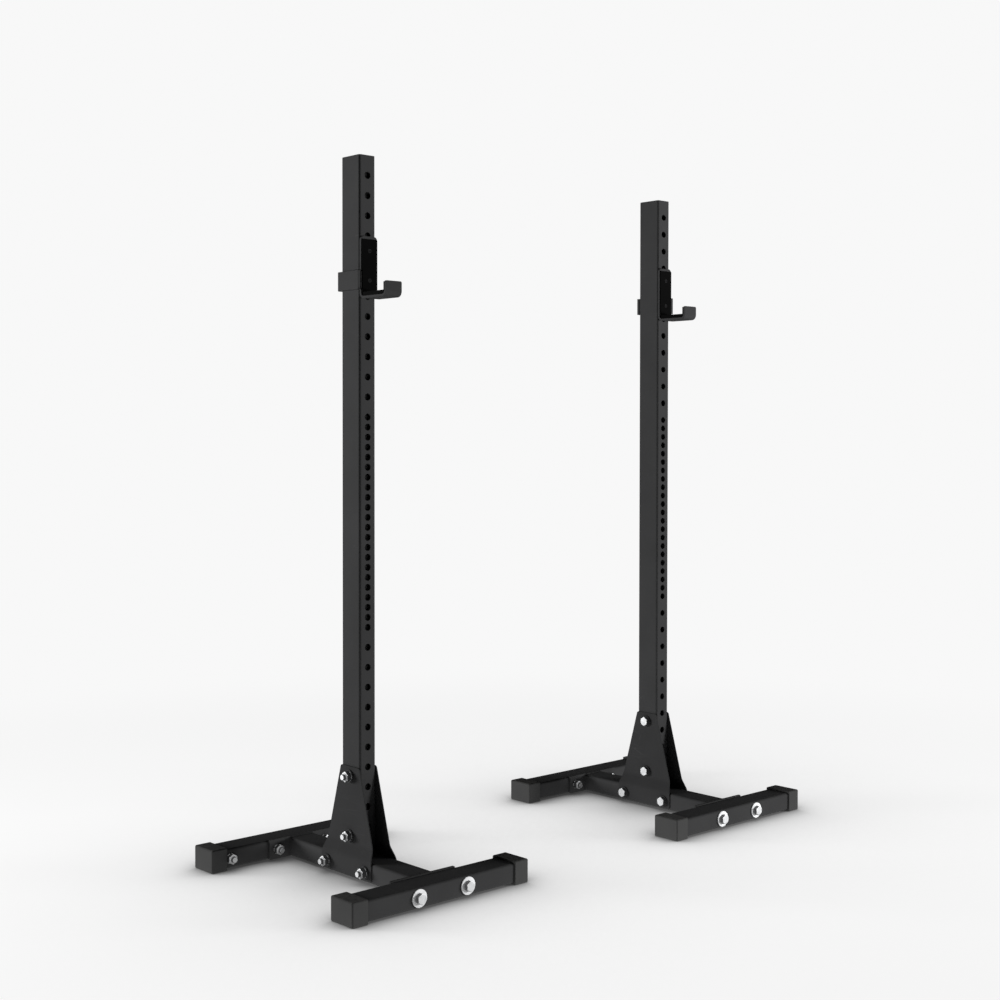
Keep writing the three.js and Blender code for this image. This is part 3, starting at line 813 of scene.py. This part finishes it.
def makeTopPlug(label):
    node = f"{label}_upright_top_plug"
    low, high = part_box(node)

    def ring(inset, level):
        return ringAt("z", level, boxOutline("z", (low, high), topPlug["corner"] - inset, inset))

    under, stem, chamfer = high.z - topPlug["lid"], topPlug["stemInset"], topPlug["underChamfer"]
    rings = [ring(stem + topPlug["tipInset"], low.z), ring(stem, low.z + topPlug["tipHeight"]),
             ring(stem, under), ring(chamfer, under), ring(0, under + chamfer)]
    rings += [ring(inset, high.z - depth) for inset, depth in quarterRound(topPlug["crown"])]
    finish(loft(f"{label}TopPlug", rings), bodyName, [node], "plugPlastic")


for label in stands:
    makeTopPlug(label)

gusset = {
    "thickness": 0.00305, "corner": 0.008, "shoulder": 0.0390, "shoulderRound": 0.02,
    "knees": (0.0480, 0.0786), "bendReach": 0.006, "bendSteps": 4, "edge": (0.0006, 2, 60),
    "boltLevels": (0.0964, 0.2488), "footLevel": 0.0202,  # above the plate's foot
    "footReach": 0.0794, "chamfer": 0.0003,
}


# How far the plate stands out at a height: 0 on the upright, 1 on the base tube, eased at the bends
def joggle(height):
    foot, top = gusset["knees"]
    reach = gusset["bendReach"]

    def eased(distance):  # integral of a ramp that opens over the bend
        if abs(distance) >= reach:
            return max(distance, 0.0)
        return (distance + reach) ** 2 / (4 * reach)

    return 1 / (top - foot) * (eased(top - height) - eased(foot - height))


def makeGusset(label, place):
    node = f"{label}_gusset_{place}"
    low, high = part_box(node)
    uprightLow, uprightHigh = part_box(f"{label}_upright")
    outwards = 1 if middleOf(node).x > middleOf(f"{label}_upright").x else -1
    thickness, corner = gusset["thickness"], gusset["corner"]
    upper = low.x if outwards > 0 else high.x
    step = (high.x - low.x - thickness) * outwards
    halfFoot, halfTop = (high.y - low.y) / 2, (uprightHigh.y - uprightLow.y) / 2
    shoulder, shoulderRound = low.z + gusset["shoulder"], gusset["shoulderRound"]
    outline = filleted([
        (-halfFoot, low.z, corner), (halfFoot, low.z, corner), (halfFoot, shoulder, shoulderRound),
        (halfTop, high.z, corner), (-halfTop, high.z, corner), (-halfFoot, shoulder, shoulderRound)])
    piece = prism(f"{label}Gusset{place.capitalize()}", "x", outline, upper, upper + outwards * thickness)

    def bend(work):
        reach, steps = gusset["bendReach"], gusset["bendSteps"]
        for knee in gusset["knees"]:
            for index in range(-steps, steps + 1):
                bmesh.ops.bisect_plane(
                    work, geom=work.verts[:] + work.edges[:] + work.faces[:], dist=1e-7,
                    plane_co=(0, 0, low.z + knee + reach * index / steps), plane_no=(0, 0, 1))
        for vertex in work.verts:
            vertex.co.x += step * joggle(vertex.co.z - low.z)

    rework(piece, bend)
    middle = upper + outwards * thickness / 2
    lower, higher = gusset["boltLevels"]
    reach, level = gusset["footReach"], low.z + gusset["footLevel"]
    for first, gap in (((middle, 0, low.z + lower), (0, 0, higher - lower)),
                       ((middle + step, -reach, level), (0, 2 * reach, 0))):
        drill(piece, first, sideways, thickness, gap, 2, chamfer=gusset["chamfer"], material="gussetShadedCoat")
    finish(piece, bodyName, [node], "gussetShadedCoat", gusset["edge"])


for label in stands:
    for place in ("outer", "inner"):
        makeGusset(label, place)
print("gussets bent")

baseFrame = {
    "flangeCorner": 0.004, "flangeEdge": (0.0007, 2, 50), "flangeChamfer": 0.0004,
    "crossBolts": 0.0762, "footBolts": 0.0794,
}


def makeCentreTube(label):
    node = f"{label}_centre_tube"
    low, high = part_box(node)
    middle, reach = middleOf(node), baseFrame["footBolts"]
    tube = tubePiece(f"{label}CentreTube", "y", (low, high))
    drill(tube, (middle.x, -reach, middle.z), sideways, high.x - low.x, (0, 2 * reach, 0), 2)
    finish(tube, bodyName, [node])
    return middle.z


# The flange and the cross tube at one end of a base
def makeBaseEnd(label, place, boltLevel):
    flange, cross = f"{label}_{place}_flange", f"{label}_{place}_cross_tube"
    firstX, gap = middleOf(flange).x - baseFrame["crossBolts"], (2 * baseFrame["crossBolts"], 0, 0)
    low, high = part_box(flange)
    outline = boxOutline("y", (low, high), baseFrame["flangeCorner"])
    piece = prism(f"{label}{place.capitalize()}Flange", "y", outline, low.y, high.y)
    drill(piece, (firstX, middleOf(flange).y, boltLevel), forwards, high.y - low.y, gap, 2,
          chamfer=baseFrame["flangeChamfer"])
    finish(piece, bodyName, [flange], bevel=baseFrame["flangeEdge"])
    low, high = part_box(cross)
    y = middleOf(cross).y
    piece = tubePiece(f"{label}{place.capitalize()}CrossTube", "x", (low, high))
    drill(piece, (firstX, y, boltLevel), forwards, high.y - low.y, gap, 2)
    if place == "rear":
        drill(piece, (middleOf(f"{label}_rear_end_bolt").x, y, boltLevel), forwards, high.y - low.y)
    finish(piece, bodyName, [cross])


for label in stands:
    boltLevel = makeCentreTube(label)
    for place in ("front", "rear"):
        makeBaseEnd(label, place, boltLevel)
print("bases built")

endCap = {
    "wall": 0.0045, "corner": 0.0040, "leastCorner": 0.0008, "endRound": 0.0045, "rim": 0.0008,
    "tubeCorner": 0.0064,
}


def makeCap(label, place, where, outwards):
    node = f"{label}_{place}_{where}_cap"
    low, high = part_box(node)
    start, end = (low.x, high.x) if outwards > 0 else (high.x, low.x)

    def ring(inset, level, corner):
        return ringAt("x", level, boxOutline(
            "x", (low, high), max(corner - inset, endCap["leastCorner"]), inset))

    wall, corner, rim = endCap["wall"], endCap["corner"], endCap["rim"]
    inside = wall + endCap["tubeCorner"]  # the ring takes the wall off again
    rings = [ring(wall, end - outwards * wall, inside), ring(wall, start + outwards * rim, inside),
             ring(wall - rim / 2, start, inside)]
    rings += [ring(inset, start + outwards * depth, corner) for depth, inset in quarterRound(rim, 3)]
    rings += [ring(inset, end - outwards * depth, corner)
              for inset, depth in quarterRound(endCap["endRound"])]
    piece = loft(f"{label}{place.capitalize()}{where.capitalize()}Cap", rings)
    finish(piece, bodyName, [node], "capRubber")


for label, side in stands.items():
    for place in ("front", "rear"):
        makeCap(label, place, "outer", side)
        makeCap(label, place, "inner", -side)
print("caps moulded")

fasteners = {
    "plainWasher": (0.0333, 0.0030), "wideWasher": (0.0444, 0.0034), "noWasher": (0.01, 0.0),
    # Each kind's side steel is a painted-shade copy of the zinc for the flanks
    "gusset": {"Steel": "zincPlate", "Shaded Side Steel": "zincShadedSides", "Washer Steel": "shadedWasher"},
    "front": {"Steel": "zincPlate", "Shaded Side Steel": "zincHeadShadedSides", "Washer Steel": "zincWasherAndLitNuts"},
    # The rear bolts take the washers' brighter zinc: painted light on heads and nuts that sit in shade
    "rear": {"Steel": "zincWasherAndLitNuts", "Shaded Side Steel": "zincShadedSides", "Washer Steel": "zincWasherAndLitNuts"},
    "ways": {"gusset": (1, -1), "front": (-1, -1), "rear": (1, 1)},  # that the heads look, left and right
}


# One piece for each kind of bolt, with a point at the seat of every head
def makeBolts(name, kind, places, headWasher, nutWasher):
    lane = 0 if kind == "gusset" else 1
    (headWide, headThick), (nutWide, nutThick) = fasteners[headWasher], fasteners[nutWasher]
    nodes, seats, looks = [], [], []
    for label, way in zip(stands, fasteners["ways"][kind]):
        for place in places:
            nodes.append(f"{label}_{kind}_{place}_bolt")
            low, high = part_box(nodes[-1])
            seat = (low + high) / 2
            seat[lane] = (high if way > 0 else low)[lane] - way * (boltForm["Head Height"] + headThick)
            seats.append(seat)
            looks.append([way if index == lane else 0 for index in range(3)])
            length = high[lane] - low[lane]
    nutSide = nutThick + sum(boltForm[label] for label in ("Nut Height", "Collar Height", "Thread Proud"))
    piece = pointPiece(name, seats, looks)
    addTree(piece, boltSets, {
        "Grip": length - boltForm["Head Height"] - headThick - nutSide, "Head Washer": headWide,
        "Head Thickness": headThick, "Nut Washer": nutWide, "Nut Thickness": nutThick,
        "Turn": math.pi / 6 if lane == 0 else 0.0,  # a corner of each hexagon points up
        **{label: materials[look] for label, look in fasteners[kind].items()}})
    finish(piece, bodyName, nodes, None, smoothAngle=28)


makeBolts("upperGussetBolts", "gusset", ("low", "high"), "plainWasher", "plainWasher")
makeBolts("lowerGussetBolts", "gusset", ("front", "rear"), "plainWasher", "plainWasher")
makeBolts("frontCrossBolts", "front", ("outer", "inner"), "wideWasher", "noWasher")
makeBolts("rearCrossBolts", "rear", ("outer", "inner"), "wideWasher", "noWasher")
makeBolts("rearEndBolts", "rear", ("end",), "noWasher", "noWasher")
print("bolts done up")


def addBead(piece, body, form):
    addTree(piece, weldBead, {
        "Bead Radius": form["radius"], "Ripple Pitch": form["pitch"], "Material": materials["powderCoat"]})
    finish(piece, body, [], material=None, smoothAngle=70, weighted=False)


baseWelds = {"radius": 0.0020, "pitch": 0.0026, "sink": 0.0004, "foot": 0.002}


# The centre tubes are welded to their flanges on three sides
def makeBaseWelds():
    points, edges = [], []
    for label in stands:
        low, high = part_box(f"{label}_centre_tube")
        foot, corner = low.z + baseWelds["foot"], boxTube["corner"]
        path = filleted([
            (low.x, foot, 0), (low.x, high.z, corner), (high.x, high.z, corner), (high.x, foot, 0)])
        for level in (low.y + baseWelds["sink"], high.y - baseWelds["sink"]):
            first = len(points)
            points += ringAt("y", level, path)
            edges += [(first + index, first + index + 1) for index in range(len(path) - 1)]
    addBead(newPiece("baseWelds", points, [], edges), bodyName, baseWelds)


makeBaseWelds()
print("bases welded")

bracket = {
    "plate": 0.00635, "bend": 0.0086, "bendSteps": 8, "edge": (0.0007, 2, 50),
    "topCorner": 0.009, "lipHeight": 0.039, "lipCorner": 0.004, "cornerSteps": 6,
}


# Rounds the two upright-standing corners at a level, seen from the front
def roundTopCorners(obj, box, level, radius, tolerance=1e-4):
    def isCorner(edge):
        first, second = [vertex.co for vertex in edge.verts]
        return max(abs(first.x - second.x), abs(first.z - level), abs(second.z - level),
                   min(abs(first.x - side.x) for side in box)) < tolerance

    def bevelCorners(work):
        bmesh.ops.bevel(work, geom=[edge for edge in work.edges if isCorner(edge)], offset=radius,
                        segments=bracket["cornerSteps"], profile=0.5, affect="EDGES")

    rework(obj, bevelCorners)


def makeBracket(label, body):
    node = f"{label}_jcup_bracket"
    low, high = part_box(node)
    plate, bend = bracket["plate"], bracket["bend"]
    lipTop = low.z + bracket["lipHeight"]
    outline = filleted([
        (high.y, high.z, 0), (high.y, low.z, plate + bend), (low.y, low.z, plate + bend),
        (low.y, lipTop, 0), (low.y + plate, lipTop, 0), (low.y + plate, low.z + plate, bend),
        (high.y - plate, low.z + plate, bend), (high.y - plate, high.z, 0)], bracket["bendSteps"])
    piece = prism(f"{label}CupBracket", "x", outline, low.x, high.x)
    roundTopCorners(piece, (low, high), high.z, bracket["topCorner"])
    roundTopCorners(piece, (low, high), lipTop, bracket["lipCorner"])
    finish(piece, body, [node], bevel=bracket["edge"])


strap = {
    "plate": 0.0095, "bend": 0.003, "bendSteps": 8, "edge": (0.0009, 2, 50),
    "weld": {"radius": 0.0016, "pitch": 0.0022}, "weldInset": 0.003,
}


def makeStrap(label, body, outwards):
    node = f"{label}_jcup_strap"
    low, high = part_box(node)
    plate, bend, inset = strap["plate"], strap["bend"], strap["weldInset"]
    far, near = (high.x, low.x) if outwards > 0 else (low.x, high.x)
    seam = far - outwards * plate
    outline = filleted([
        (seam, low.y, 0), (far, low.y, 0), (far, high.y, bend + plate), (near, high.y, 0),
        (near, high.y - plate, 0), (seam, high.y - plate, bend)], strap["bendSteps"])
    piece = prism(f"{label}CupStrap", "z", outline, low.z, high.z)
    finish(piece, body, [node], bevel=strap["edge"])
    ends = [(seam, low.y, low.z + inset), (seam, low.y, high.z - inset)]
    addBead(newPiece(f"{label}CupWeld", ends, [], [(0, 1)]), body, strap["weld"])


liner = {
    "edge": (0.0008, 3, 50), "corner": 0.003, "bore": 0.0066, "head": 0.0116, "headDepth": 0.0024,
    "seat": 0.010, "bend": 0.0083, "lip": 0.00535, "lipRounds": (0.0008, 0.0012), "seatRound": 0.002,
    "footBevel": (0.0045, 0.0015), "armBore": 0.03,
}


# Screw holes through a liner, and the wider sinks for their heads
def drillScrewHoles(obj, first, turn, through, step=(0, 0, 0), count=1):
    sink = 2 * (liner["headDepth"] - drillForm["overrun"])
    for depth, diameter in ((through, liner["bore"]), (sink, liner["head"])):
        drill(obj, first, turn, depth, step, count, diameter, 0.0, "linerPlastic")


def makeLiners(label, body):
    node = f"{label}_jcup_back_liner"
    low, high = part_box(node)
    back = prism(f"{label}CupBackLiner", "y", boxOutline("y", (low, high), liner["corner"]), low.y, high.y)
    lower, upper = [middleOf(f"{label}_jcup_{place}_screw").z for place in ("low", "high")]
    drillScrewHoles(back, (middleOf(node).x, low.y, lower), forwards, 2 * (high.y - low.y),
                    (0, 0, upper - lower), 2)
    finish(back, body, [node], "linerPlastic", liner["edge"])
    node = f"{label}_jcup_arm_liner"
    low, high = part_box(node)
    seatTop, lipBack = low.z + liner["seat"], low.y + liner["lip"]
    (bevelLong, bevelHigh), (lipFront, lipRear) = liner["footBevel"], liner["lipRounds"]
    outline = filleted([
        (high.y, seatTop, 0), (high.y, low.z + bevelHigh, 0), (high.y - bevelLong, low.z, 0),
        (low.y, low.z, liner["bend"]), (low.y, high.z, lipFront), (lipBack, high.z, lipRear),
        (lipBack, seatTop, liner["seatRound"])])
    arm = prism(f"{label}CupArmLiner", "x", outline, low.x, high.x)
    x, y, _ = middleOf(f"{label}_jcup_seat_screw")
    drillScrewHoles(arm, (x, y, seatTop), upright, liner["armBore"])
    finish(arm, body, [node], "linerPlastic", liner["edge"])


cupPin = {"chamfer": 0.001, "sides": 32}


def makePin(label, body):
    node = f"{label}_jcup_pin"
    low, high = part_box(node)
    x, _, z = middleOf(node)
    chamfer, sides = cupPin["chamfer"], cupPin["sides"]
    angles = [step * 2 * math.pi / sides for step in range(sides)]
    rings = []
    for level, inset in ((low.y, chamfer), (low.y + chamfer, 0), (high.y - chamfer, 0), (high.y, chamfer)):
        radius = (high.z - low.z) / 2 - inset
        rings.append(ringAt("y", level, [(x + radius * math.cos(angle), z + radius * math.sin(angle))
                                         for angle in angles]))
    finish(loft(f"{label}CupPin", rings), body, [node], "zincPlate")


screwForm = {
    "Head Diameter": 0.0110, "Head Depth": 0.0021, "Shank Diameter": 0.006, "Socket": 0.0040,
    "Socket Depth": 0.0014,
}
screwTrim = {
    "sunk": 0.0003, "headChamfer": 0.0002, "headSides": 36, "endChamfer": 0.0004, "shankSides": 24,
    "socketCut": 0.004, "socketCrown": 1.1,
}


# Flat-head socket screws: a point at each head's top face
def buildScrews(tree, given):
    trim = screwTrim
    head = addDisc(tree, times(given["Head Diameter"], 0.5), given["Head Depth"], -trim["headChamfer"],
                   trim["headChamfer"], trim["headSides"])
    shank = addDisc(tree, times(given["Shank Diameter"], 0.5), given["Length"], -trim["endChamfer"],
                    trim["endChamfer"], trim["shankSides"])
    socket = addHex(tree, given["Socket"], trim["socketCut"], trim["socketCrown"])
    socket = moveUp(socket, times(given["Socket Depth"], -1.0))
    body = addNode(tree, "GeometryNodeMeshBoolean", operation="UNION", solver="MANIFOLD")
    for mesh in (moveUp(head, times(given["Head Depth"], -0.5)),
                 moveUp(shank, times(given["Length"], -0.5, -trim["sunk"]))):
        tree.links.new(mesh, body.inputs["Mesh 2"])
    cut = shape(tree, "MeshBoolean", {
        "Mesh 1": body.outputs[0], "Mesh 2": socket}, operation="DIFFERENCE", solver="MANIFOLD")
    return {"Geometry": paint(placeAtPoints(given["Geometry"], cut), given["Material"])}


flatScrews = newGroup("Geometry", "flatScrews", {
    "Geometry": "Geometry", **screwForm, "Length": 0.012, "Material": "Material"}, buildScrews)


def makeScrews(label, body):
    nodes = [f"{label}_jcup_{place}_screw" for place in ("low", "high", "seat")]
    seats = [middleOf(node) for node in nodes]
    (lowFront, lowEnd), (highFront, _), (_, seatTop) = [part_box(node) for node in nodes]
    seats[0].y, seats[1].y, seats[2].z = lowFront.y, highFront.y, seatTop.z
    piece = pointPiece(f"{label}CupScrews", seats, [(0, -1, 0), (0, -1, 0), (0, 0, 1)])
    addTree(piece, flatScrews, {
        "Length": lowEnd.y - lowFront.y - screwTrim["sunk"], "Material": materials["blackOxide"]})
    finish(piece, body, nodes, None)


for label, side in stands.items():
    body = f"{label}_jcup"
    makeBracket(label, body)
    makeStrap(label, body, side)
    makeLiners(label, body)
    makePin(label, body)
    makeScrews(label, body)
print("cups hung")
